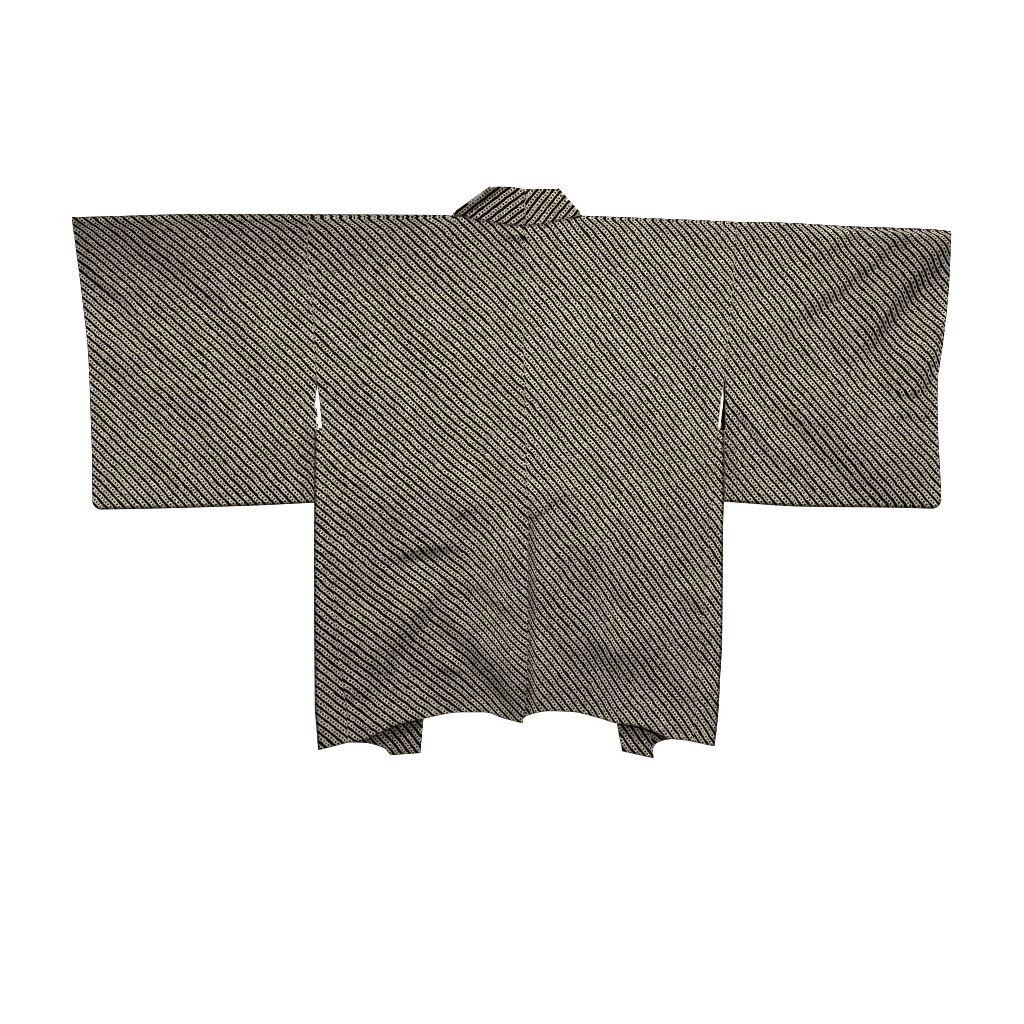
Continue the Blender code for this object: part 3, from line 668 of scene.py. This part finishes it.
def makeLining(name):
    s, c = liningSilk, Calc(name)
    cloth = c.node("ShaderNodeTexCoord").outputs["Object"]
    weave = []
    for direction in ("X", "Y"):
        given = dict(Vector=cloth, Scale=0.314 / (s["threadMm"] * mm), Distortion=0.6)
        weave.append(c.node("ShaderNodeTexWave", given, bands_direction=direction).outputs["Fac"])
    thread = c.times(*weave)
    tone = c.node("ShaderNodeTexNoise", dict(Vector=cloth, Scale=28)).outputs["Fac"]
    return c.finish({
        "Base Color": c.blend(c.ramp(tone, 0.3, 0.75), s["colour"], s["shade"]),
        "Normal": c.relief(thread, 0.3, 0.08),
        "Roughness": c.ramp(thread, 0, 1, s["roughness"] + 0.08, s["roughness"] - 0.05),
        "Specular IOR Level": 0.35,
        "Sheen Weight": 0.12,
    })


edgeSilk = dict(colour=(0.085, 0.064, 0.056), dark=(0.03, 0.022, 0.019), roughness=0.8)


def makeEdging(name):
    # the plain dyed edge of the silk, seen along hems and seams
    s, c = edgeSilk, Calc(name)
    cloth = c.node("ShaderNodeTexCoord").outputs["Object"]
    tone = c.node("ShaderNodeTexNoise", dict(Vector=cloth, Scale=160)).outputs["Fac"]
    return c.finish({
        "Base Color": c.blend(c.ramp(tone, 0.35, 0.65), s["dark"], s["colour"]),
        "Normal": c.relief(tone, 0.3, 0.1),
        "Roughness": s["roughness"],
        "Specular IOR Level": 0.1,
    })


shibori = {name: makeShibori(name, *looks) for name, looks in shiboriSilk["bolts"].items()}
edging, lining = makeEdging("edgeSilk"), makeLining("liningSilk")
print("stage: materials made")

# The solid that each piece stands for, the flat cut of what shows of it, in metres, and the area of that cut
cuts = dict(
    bodyLeft=("body_left", (0.315, 1.53), 0.345),
    bodyRight=("body_right", (0.312, 1.53), 0.33),
    sleeveLeft=("sleeve_left", (0.345, 0.86), 0.285),
    sleeveRight=("sleeve_right", (0.33, 0.84), 0.27),
    gussetLeft=("gusset_left", (0.07, 0.467), 0.0225),
    gussetRight=("gusset_right", (0.055, 0.46), 0.0195),
    collarLeft=("collar_left", (0.10, 0.93), 0.08),
    collarRight=("collar_right", (0.10, 0.93), 0.08),
    liningLeft=("lining_left", (0.045, 0.1), 0.0045),
    liningRight=("lining_right", (0.045, 0.1), 0.0042),
)


def finishPiece(piece):
    node, flat, area = cuts[piece.name]
    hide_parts(node)
    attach(piece, "root")


bodyMesh = dict(
    grid=3.6,
    frontGrid=8.0,
    crowd=1.06,  # the rows of the grid are closer together by the shoulder
    backLength=760,
    frontLength=770,
    turns=8,  # steps round a fold
    turnUp=130,  # depth of the silk turned up inside the hem
    facing=7.0,  # and of that inside the front edges
    # painted shade that turns the facing inside the front edges near black
    facingShade=1.25,
    pastNeck=0.6,  # the shoulder fold starts this far outside the neck point
)


def makeBody(name, half, grain):
    out, size = half["out"], bodyMesh
    neckX = half["neckPoint"][0] + out * size["pastNeck"]
    topY = at(half["shoulder"], neckX)
    sideTop, centreTop = at(half["side"], topY), at(half["centre"], topY) + out * layers["seam"] / 2
    neckShare = (neckX - sideTop) / (centreTop - sideTop)
    onShoulder = int(abs(neckX - sideTop) / size["grid"])
    onNeck = int(abs(centreTop - neckX) / size["grid"])
    overShoulder = np.linspace(0, neckShare, onShoulder + 1)
    share = np.append(overShoulder, np.linspace(neckShare, 1, onNeck + 1)[1:])
    topX = mix(sideTop, centreTop, share)
    foldY = at(half["shoulder"], topX)
    turn = (bodyLevel(half, topX, foldY) - layers["lower"]) / 2
    folded = np.arange(len(share)) <= onShoulder
    axisY = np.where(folded, foldY - turn - layers["cloth"] / 2, at(half["neck"], topX))
    outer, inner = (0, -1) if out < 0 else (-1, 0)
    hemX = mix(half["hem"][0][outer], half["hem"][0][inner], share)
    hemY = at(half["hem"], hemX)
    down = steps(int(size["backLength"] / size["grid"]))[::-1] ** size["crowd"]
    y = mix(axisY, hemY, down)
    centre = at(half["centre"], y) + out * layers["seam"] / 2 - half["tuck"] * alongStep(y)
    x = mix(at(half["side"], y), centre, share)
    back = np.stack([x, y, bodyLevel(half, x, y)], -1)
    # round the shoulder fold
    angle = np.linspace(0, pi, size["turns"] + 1)[1:-1, None]
    arc = foldOver(topX, axisY, 0, 1, turn, angle)
    # the front, beneath
    overFront = np.clip(share / neckShare, 0, 1)

    def acrossFront(height):
        return mix(at(half["frontSide"], height), at(half["frontEdge"], height), overFront)

    lowY = at(half["frontHem"], acrossFront(-400))
    frontY = mix(axisY, lowY, steps(int(size["frontLength"] / size["frontGrid"])))
    frontX = acrossFront(frontY)
    points = join([back, arc, onFloor(frontX, frontY)])
    rounding = slack["rounding"] * (1 - smooth(0, 16, axisY - y)) * folded
    clothY = join([y + rounding, axisY + rounding[0] + turn * angle,
                             2 * axisY + rounding[0] + turn * pi - frontY])
    clothY[: len(y)] -= slack["bodyPull"] * foldLift("body", x, y)
    clothX = join([x, arc[..., 0], frontX])
    counts = ringCounts(clothX, clothY, grain, sideTop / 2)
    turnGrain = dict(grain, falls=[(-420, half["turnFall"]), (376, half["turnFall"])], draws=[])
    inside = ringCounts(points[..., 0], points[..., 1], turnGrain, sideTop / 2)
    there = np.ones(points.shape[:2], bool)
    there[len(back):, ~folded] = False
    frontFacing = (frontX - at(half["frontSide"], frontY)) * -out < size["facing"]
    turnedUp = join([y < hemY + size["turnUp"], np.zeros(arc.shape[:2], bool),
                               (frontY < lowY + size["turnUp"]) | frontFacing])
    # painted shade: by the shoulder and centre seam, round the fold, behind the back hem and on the front
    # facing
    paintedShade = join([paintedShadeAt(half, x, y, places["shoulder"] - y),
                            aroundFold(angle, half["topShade"]) + np.zeros(arc.shape[:2]),
                            np.maximum(underHem(half, frontX, frontY), size["facingShade"] * frontFacing)])
    look = (shibori[half["silk"]], lining, edging)
    innerLook = np.where(turnedUp, 0, 1)
    finishPiece(makeShell(name, points, counts, layers["cloth"], look, innerLook, there, paintedShade, inside))


sleeveMesh = dict(
    grid=3.6,
    underGrid=9.0,
    length=420,
    turns=8,
    corner=14.0,  # radius of the lower cuff corner
    mostLean=0.7,  # how far the bottom fold turns towards the cuff there
    facing=5.0,
)


def makeSleeve(name, sleeve, grain):
    out, size, lower = sleeve["out"], sleeveMesh, layers["lower"]
    corner, thick = size["corner"], layers["cloth"]
    lowY = sleeve["cuff"][0][0]
    width = float(abs(at(sleeve["cuff"], lowY) - sleeveInner(sleeve, lowY)))
    rounding = corner * (1 - np.cos(pi / 2 * np.arange(6) / 6)) / width
    share = join([rounding, np.linspace(corner / width, 1, int(width / size["grid"]))])

    def across(y):
        return mix(at(sleeve["cuff"], y), sleeveInner(sleeve, y), share)

    topY = at(sleeve["top"], across(np.full_like(share, places["shoulder"])))
    lean = np.maximum(0, 1 - share * width / corner)
    lift = corner * (1 - np.sqrt(1 - lean**2))
    bottomX = across(np.full_like(share, lowY))
    bottomY = at(sleeve["bottom"], bottomX) + lift
    turnTop = (sleeveLevel(sleeve, across(topY), topY) - lower) / 2
    turnLow = (sleeveLevel(sleeve, across(bottomY), bottomY) - lower) / 2
    lean = np.minimum(lean, size["mostLean"])
    wayX, wayY = out * lean, -np.sqrt(1 - lean**2)
    axisTop = topY - turnTop - thick / 2
    axisLowX = across(bottomY) - wayX * (turnLow + thick / 2)
    axisLow = bottomY - wayY * (turnLow + thick / 2)
    shift = axisLowX - across(axisLow)
    angle = np.linspace(0, pi, size["turns"] + 1)[:, None]

    half = size["turns"] // 2
    down = np.linspace(1, 0, int(size["length"] / size["grid"]))[1:-1, None]
    y = mix(axisTop, axisLow, down)
    x = across(y) + shift * smooth(0.985, 1, down)
    upper = np.stack([x, y, sleeveLevel(sleeve, x, y)], -1)
    back = foldOver(across(axisTop), axisTop, 0, 1, turnTop, angle)
    under = steps(int(size["length"] / size["underGrid"]))[1:-1]
    underY = mix(axisTop, axisLow, under)
    underX = across(underY) + shift * smooth(0.985, 1, under)
    beneath = onFloor(underX, underY)
    lowAngle = angle[: half + 1][::-1]
    firstTurn = foldOver(axisLowX, axisLow, wayX, wayY, turnLow, lowAngle)
    lastTurn = foldOver(axisLowX, axisLow, wayX, wayY, turnLow, angle[half:][::-1])
    points = join([firstTurn, upper, back, beneath, lastTurn])
    # cloth coordinates run on round the top fold and end at the seam along the bottom
    rounding = slack["rounding"] * (1 - smooth(0, 16, axisTop - y))
    over = axisTop + slack["rounding"] + turnTop * pi
    clothY = join([axisLow - turnLow * lowAngle, y + rounding,
                             axisTop + slack["rounding"] + turnTop * angle, axisTop + over - underY,
                             axisTop + over - axisLow + turnLow * lowAngle[::-1]])
    clothY[len(firstTurn): len(firstTurn) + len(y)] -= slack["sleevePull"] * foldLift("sleeve", x, y)
    clothX = join([firstTurn[..., 0], x, back[..., 0], underX, lastTurn[..., 0]])
    counts = ringCounts(clothX, clothY, grain, (at(sleeve["cuff"], 150) + sleeveInner(sleeve, 150)) / 2)
    fromCuff = np.broadcast_to(share * width, points.shape[:2])
    facing = (fromCuff < size["facing"]) | (fromCuff > width - size["facing"])
    # painted shade on the back, and a painted dark line beside the bottom fold; both turns are painted dark
    onBack = np.maximum(paintedShadeAt(sleeve, x, y, axisTop - y), 1 - smooth(0, paintedShading["turnedEdge"], y - axisLow))
    onTop = aroundFold(angle, sleeve["topShade"]) + np.zeros(back.shape[:2])
    paintedShade = join([np.ones(firstTurn.shape[:2]), onBack, onTop, np.zeros(underY.shape),
                            np.ones(lastTurn.shape[:2])])
    look = (shibori["shiboriSilk"], lining, edging)
    finishPiece(makeShell(name, points, counts, thick, look, np.where(facing, 0, 1), shade=paintedShade))


gussetMesh = dict(rows=110, upper=14, lower=8, turns=8, turnUp=0.3)


def makeGusset(name, half, grain):
    out, size, lower = half["out"], gussetMesh, layers["lower"]
    share = steps(size["rows"] + 1)
    topY = places["slitFoot"]

    def down(x):
        return mix(topY, at(half["gussetHem"], x), share)

    foldX = at(half["outline"], mix(topY, half["outline"][0][0], share))
    foldY = down(foldX)
    turn = (bodyLevel(half, foldX, foldY) - lower) / 2
    axisX = foldX - out * (turn + layers["cloth"] / 2)
    seamY = mix(topY, half["hem"][1][0 if out < 0 else -1], share)
    step = steps(size["upper"] + 1).T
    y = mix(seamY, foldY, step)
    x = mix(at(half["side"], y) + out * layers["seam"], axisX, step)
    z = mix(bodyLevel(half, x, y), lower + 2 * turn, smooth(0.85, 1, step))
    upper = np.stack([x, y, z], -1)
    angle = np.linspace(0, pi, size["turns"] + 1)[None, 1:-1]
    arc = foldOver(axisX, foldY, out, 0, turn, angle)
    frontX = at(half["frontSide"], down(at(half["frontSide"], foldY))) + out * layers["seam"]
    lowX = mix(axisX, frontX, steps(size["lower"] + 1).T)
    lowY = mix(topY, at(half["gussetHem"], lowX), share)
    points = join([upper, arc, onFloor(lowX, lowY)], 1)
    clothX = join([x, axisX + out * turn * angle, 2 * axisX + out * turn * pi - lowX], 1)
    counts = ringCounts(clothX, points[..., 1], grain, half["side"][1][0] / 2)
    turnedUp = np.broadcast_to(share > 1 - size["turnUp"], points.shape[:2])
    # painted dark line beside the fold, and a painted dark turn
    onBack = 1 - smooth(0, paintedShading["turnedEdge"], np.abs(axisX - x))
    paintedShade = join([onBack, np.ones(arc.shape[:2]), np.zeros(lowX.shape)], 1)
    look = (shibori[half["silk"]], lining, edging)
    finishPiece(makeShell(name, points, counts, layers["cloth"], look, np.where(turnedUp, 0, 1), shade=paintedShade))


slitLining = dict(
    y=(64, 166),
    along=34,
    across=26,
    left=dict(showing=7.0, inner=-238),
    right=dict(showing=3.2, inner=262),
)


def makeSlitLining(name, half, strip):
    # the lining rolls out a little past the edge of the back panel
    side = steps(slitLining["across"]).T ** 2
    y = mix(*slitLining["y"], steps(slitLining["along"])) + 0 * side
    showing = strip["showing"] * smooth(128, 104, y)
    outer = at(half["side"], y) + half["out"] * showing
    x = mix(outer, strip["inner"], side)
    rolled = smooth(showing + 2, showing - 1, np.abs(x - outer)) * smooth(160, 140, y)
    z = 1.6 + layers["slitLining"] / 2 + 2.4 * rolled + 0.12 * np.sin(y / 3.7) * smooth(0.5, 0, side)
    points = np.stack([x, y, z], -1)
    finishPiece(makeShell(name, points, points[..., :2] / 5, layers["slitLining"], (lining,)))


collarMesh = dict(
    inner=14,  # points across the inner half of the band, across the outer one and round its fold
    outer=18,
    turns=8,
    neckStations=34,
    shoulderStations=12,
    grid=6.0,
    freeAtNeck=1.2,  # from the seam to the free edge at the neck point, and down the front
    freeInFront=11.0,
    neckLevels=(2.2, 2.6, 3.6, 4.7, 5.3, 5.4),  # inner half of the band, from the centre back outwards
    foldRise=((141, 0), (190, 2), (236, 5), (282, 9), (321, 16), (368, 28)),  # of the fold over the seam
)


def collarStations(half):
    # sections of the band from the centre back, round the shoulder and down to the hem
    out, size = half["out"], collarMesh
    neckPoint, tops = np.array(half["neckPoint"], float), np.array(half["bandTop"], float)
    centreX, corner = tops[0, 0], tops[-1]
    knots = np.linspace(0, 1, len(tops))
    topX, topY = eased(np.stack([knots, tops[:, 0]], -1)), eased(np.stack([knots, tops[:, 1]], -1))
    levels = eased(list(zip(knots, size["neckLevels"])))
    stations = []
    for share in np.linspace(0, 1, size["neckStations"] + 1)[:-1]:
        seamX = mix(centreX, neckPoint[0], share)
        seam = np.array((seamX, at(half["neck"], seamX) + layers["seam"]))
        fold, level = np.array((at(topX, share), at(topY, share))), at(levels, share)
        free = np.array((seamX, at(half["neckFree"], seamX)))
        start = float(bodyLevel(half, seamX, seam[1]))
        over = float(bodyLevel(half, *free)) + layers["bandStep"]
        stations.append((seam, fold, free, 0.0, (start, level), (level + layers["bandStep"], over)))
    start = float(bodyLevel(half, *neckPoint))
    slope = toward(neckPoint, corner)
    tall = ((start, layers["bandBack"]), (layers["bandTop"], layers["bandTop"]))
    for share in np.linspace(0, 1, size["shoulderStations"] + 1):
        free = neckPoint + slope * mix(size["freeAtNeck"], size["freeInFront"], share)
        stations.append((neckPoint, corner, free, pi * share, *tall))
    rise = plain(size["foldRise"])
    seamYs = np.linspace(368, half["bandHem"][0], int(780 / size["grid"]))
    for number, seamY in enumerate(seamYs):
        last = number / (len(seamYs) - 1)
        foldY = seamY + at(rise, seamY) + (half["bandHem"][1] - half["bandHem"][0]) * last
        seam = np.array((at(half["frontEdge"], seamY) - out * layers["seam"], seamY))
        fold = np.array((at(half["fold"], foldY), foldY))
        way = toward(seam, fold)
        stations.append((seam, fold, seam + way * size["freeInFront"], pi, *tall))
    return stations


def makeCollar(name, half, grain, silk):
    size, band, low, mid = collarMesh, layers["band"], layers["bandLow"], layers["bandMid"]
    rows, cloth, paintedShade = [], [], []
    for seam, fold, free, turned, (innerStart, inner), (outer, outerEnd) in collarStations(half):
        way = toward(seam, fold)
        aside = np.array((-way[1], way[0])) * half["out"] * -1
        wayUp = np.array((*(aside * np.sin(turned)), np.cos(turned)))
        wayOn = np.array((*way, 0))
        turn = mix((outer - inner) / 2, (mid - low) / 2, turned / pi)
        axis = fold - way * (turn + band / 2)

        def place(plan, backHeight, frontHeight):
            middle = join([plan, (backHeight + frontHeight) / 2], -1)
            return middle + wayUp * (backHeight - frontHeight) / 2

        share = steps(size["inner"])
        rise = smooth(0, 0.2, share)
        innerPlan = mix(seam, axis, share)
        innerHalf = place(innerPlan, mix(innerStart, inner, rise), mix(layers["lower"], mid, rise))
        core = place(axis, np.array([(inner + outer) / 2]), np.array([(mid + low) / 2]))
        angle = np.linspace(0, pi, size["turns"] + 1)[1:-1, None]
        arc = core + (wayOn * np.sin(angle) - wayUp * np.cos(angle)) * turn
        share = steps(size["outer"])
        outerPlan = mix(axis, free, share)
        outerHalf = place(outerPlan, mix(outer, outerEnd, smooth(0.7, 1, share)), low + 0 * share)
        rows.append(join([innerHalf, arc, outerHalf]))
        # painted shade round the fold, and a painted dark line along the free edge
        freeEdge = 0.35 * (share[:, 0] > 0.97)
        paintedShade.append(join([np.zeros(len(innerHalf)), np.full(len(arc), 0.8), freeEdge]))
        # the half that shows lies in the cloth as it is seen, and the other is its mirror beyond the fold:
        # the outer half shows at the neck, and the inner one down the front
        swap = smooth(0.35, 0.65, turned / pi)
        rounding = axis + way * (turn * (pi / 2 - angle) * (1 - 2 * swap))
        cloth.append(join([mix(2 * axis - innerPlan, innerPlan, swap), rounding,
                                     mix(outerPlan, 2 * axis - outerPlan, swap)]))
    points, cloth, paintedShade = np.array(rows), np.array(cloth), np.array(paintedShade, float)
    x, y, z = points[..., 0], points[..., 1], points[..., 2]
    # painted shade where the front ends lie behind the back hem
    paintedShade = np.maximum(paintedShade, underHem(half, x, y))
    # painted shade along the slope beside the neck, and a darker dash at the join at the centre back
    neckPoint, corner = np.array(half["neckPoint"]), np.array(half["bandTop"][-1])
    slope = toward(neckPoint, corner)
    fromSlope = ((x - neckPoint[0]) * slope[1] - (y - neckPoint[1]) * slope[0]) * -half["out"]
    slopeEdge = (y > neckPoint[1] - 6) & (z > low + 1)
    paintedShade = np.maximum(paintedShade, np.where(slopeEdge, 0.4 * smooth(3.0, 0, fromSlope), 0))
    atJoin = smooth(3.4, 0, np.abs(x - half["bandTop"][0][0])) * smooth(381, 389, y) * smooth(407, 402, y)
    paintedShade = np.maximum(paintedShade, 0.8 * atJoin * (z > layers["bandBack"]))
    strip = half["slopeStrip"]
    if strip:  # an under layer shows beside the fold of the upper one
        onTop = (z > layers["bandBack"] - 1) & (y > 300)
        z += np.where(onTop, -1.6 * smooth(strip + 1.5, strip - 1.5, fromSlope), 0)
        # painted shade over the under layer, with a painted dark line at the fold of the upper one
        line = np.exp(-((fromSlope - strip) ** 2))
        paintedShade = np.maximum(paintedShade, np.where(onTop, 0.7 * smooth(strip + 1, strip, fromSlope) + 0.9 * line, 0))
    counts = ringCounts(cloth[..., 0], cloth[..., 1], grain, neckPoint[0])
    finishPiece(makeShell(name, points, counts, band, (shibori[silk], edging), shade=paintedShade))


makeBody("bodyLeft", leftBody, grains["leftBody"])
makeBody("bodyRight", rightBody, grains["rightBody"])
makeSleeve("sleeveLeft", leftSleeve, grains["leftSleeve"])
makeSleeve("sleeveRight", rightSleeve, grains["rightSleeve"])
makeGusset("gussetLeft", leftBody, grains["leftBody"])
makeGusset("gussetRight", rightBody, grains["rightBody"])
makeCollar("collarLeft", leftBody, grains["leftCollar"], "shiboriCollarLeft")
makeCollar("collarRight", rightBody, grains["rightCollar"], "shiboriCollarRight")
makeSlitLining("liningLeft", leftBody, slitLining["left"])
makeSlitLining("liningRight", rightBody, slitLining["right"])

studio = dict(
    camera=(0.0007, -0.0575, 12.0),
    seen=1.4895,  # metres across the frame
    floorReach=6,
    floorColour=(0.93, 0.93, 0.925),
    floorGlow=0.9,
    sky=0.055,
    lights=[  # place, aim, size, watts
        ((-0.202, 0.163, 0.3), (-0.202, 0.008, 0), (1.17, 0.3), 1.08),
        ((0.384, 3.4, 1.42), (0.0, 0.0, 0), (0.9, 0.6), 161),
        ((0.93, 0.4, 2.13), (0.3, 0.0, 0), (0.5, 0.5), 33),
        ((-0.75, -0.2, 0.35), (-0.35, -0.12, 0), (0.3, 0.3), 0.6),
    ],
)


def makeStudio():
    s = studio
    scene = bpy.context.scene
    scene.view_settings.view_transform = "Standard"
    scene.cycles.filter_width = 1.0
    scene.cycles.use_denoising = False  # it would smooth the small rings away
    mesh = bpy.data.meshes.new("floor")
    far = s["floorReach"]
    mesh.from_pydata([(-far, -far, 0), (far, -far, 0), (far, far, 0), (-far, far, 0)], [], [(0, 1, 2, 3)])
    floor = addObject("floor", mesh)
    mesh.materials.append(Calc("paleFloor").finish({
        "Base Color": (*s["floorColour"], 1),
        "Roughness": 0.9,
        "Specular IOR Level": 0.1,
        "Emission Color": (1, 1, 1, 1),
        "Emission Strength": s["floorGlow"],
    }))
    world = bpy.data.worlds.new("softSky")
    world.use_nodes = True
    colour, strength = world.node_tree.nodes["Background"].inputs[:2]
    colour.default_value = (1, 1, 1, 1)
    strength.default_value = s["sky"]
    scene.world = world
    for number, (place, aim, size, watts) in enumerate(s["lights"]):
        data = bpy.data.lights.new("softbox" + str(number + 1), "AREA")
        data.shape = "RECTANGLE"
        data.size, data.size_y = size
        data.energy = watts
        lamp = addObject(data.name, data)
        lamp.location = place
        lamp.rotation_euler = (Vector(aim) - Vector(place)).to_track_quat("-Z", "Y").to_euler()
        lamp.visible_camera = False
    data = bpy.data.cameras.new("camera")
    data.sensor_width = 36
    data.lens = 36 * s["camera"][2] / s["seen"]
    data.clip_end = 60
    scene.camera = addObject("camera", data)
    scene.camera.location = s["camera"]


makeStudio()
print("stage: studio ready")
